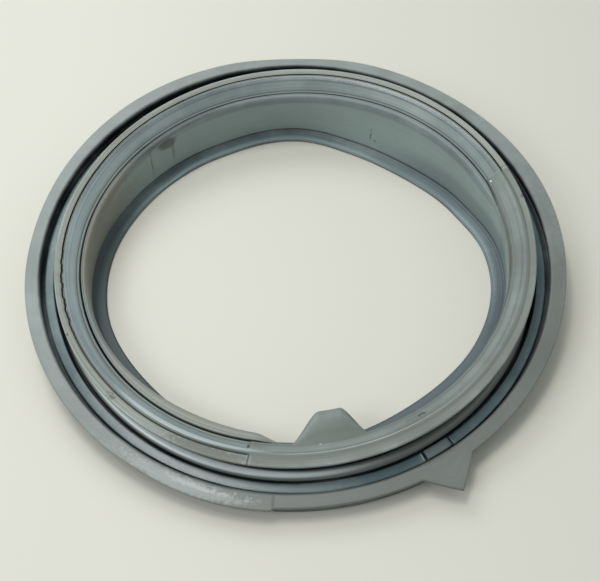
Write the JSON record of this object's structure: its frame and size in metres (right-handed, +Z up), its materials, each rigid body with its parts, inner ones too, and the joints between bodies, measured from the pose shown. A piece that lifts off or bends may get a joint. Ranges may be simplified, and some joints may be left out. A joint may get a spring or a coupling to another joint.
{
  "type": "washing machine door seal",
  "caption": "Round grey rubber door seal: a flange with a pointed tab, narrow folded bellows, a raised head ring with a flap, and a sleeve that ends in a soft lip.",
  "frame": {"origin": "On the floor under the middle of the ring, with the seal lying on its lip and its tub side up.", "axes": "Z is up, out of the ring's tub side. Y runs from the near side, where the flap and the tab are, to the far side, where the bellows stand highest. X runs to the right."},
  "size_m": [0.4012, 0.3966, 0.0622],
  "materials": {
    "seal_rubber": "satin"
  },
  "bodies": {
    "root": {"door_seal": "seal_rubber"}
  },
  "joints": []
}
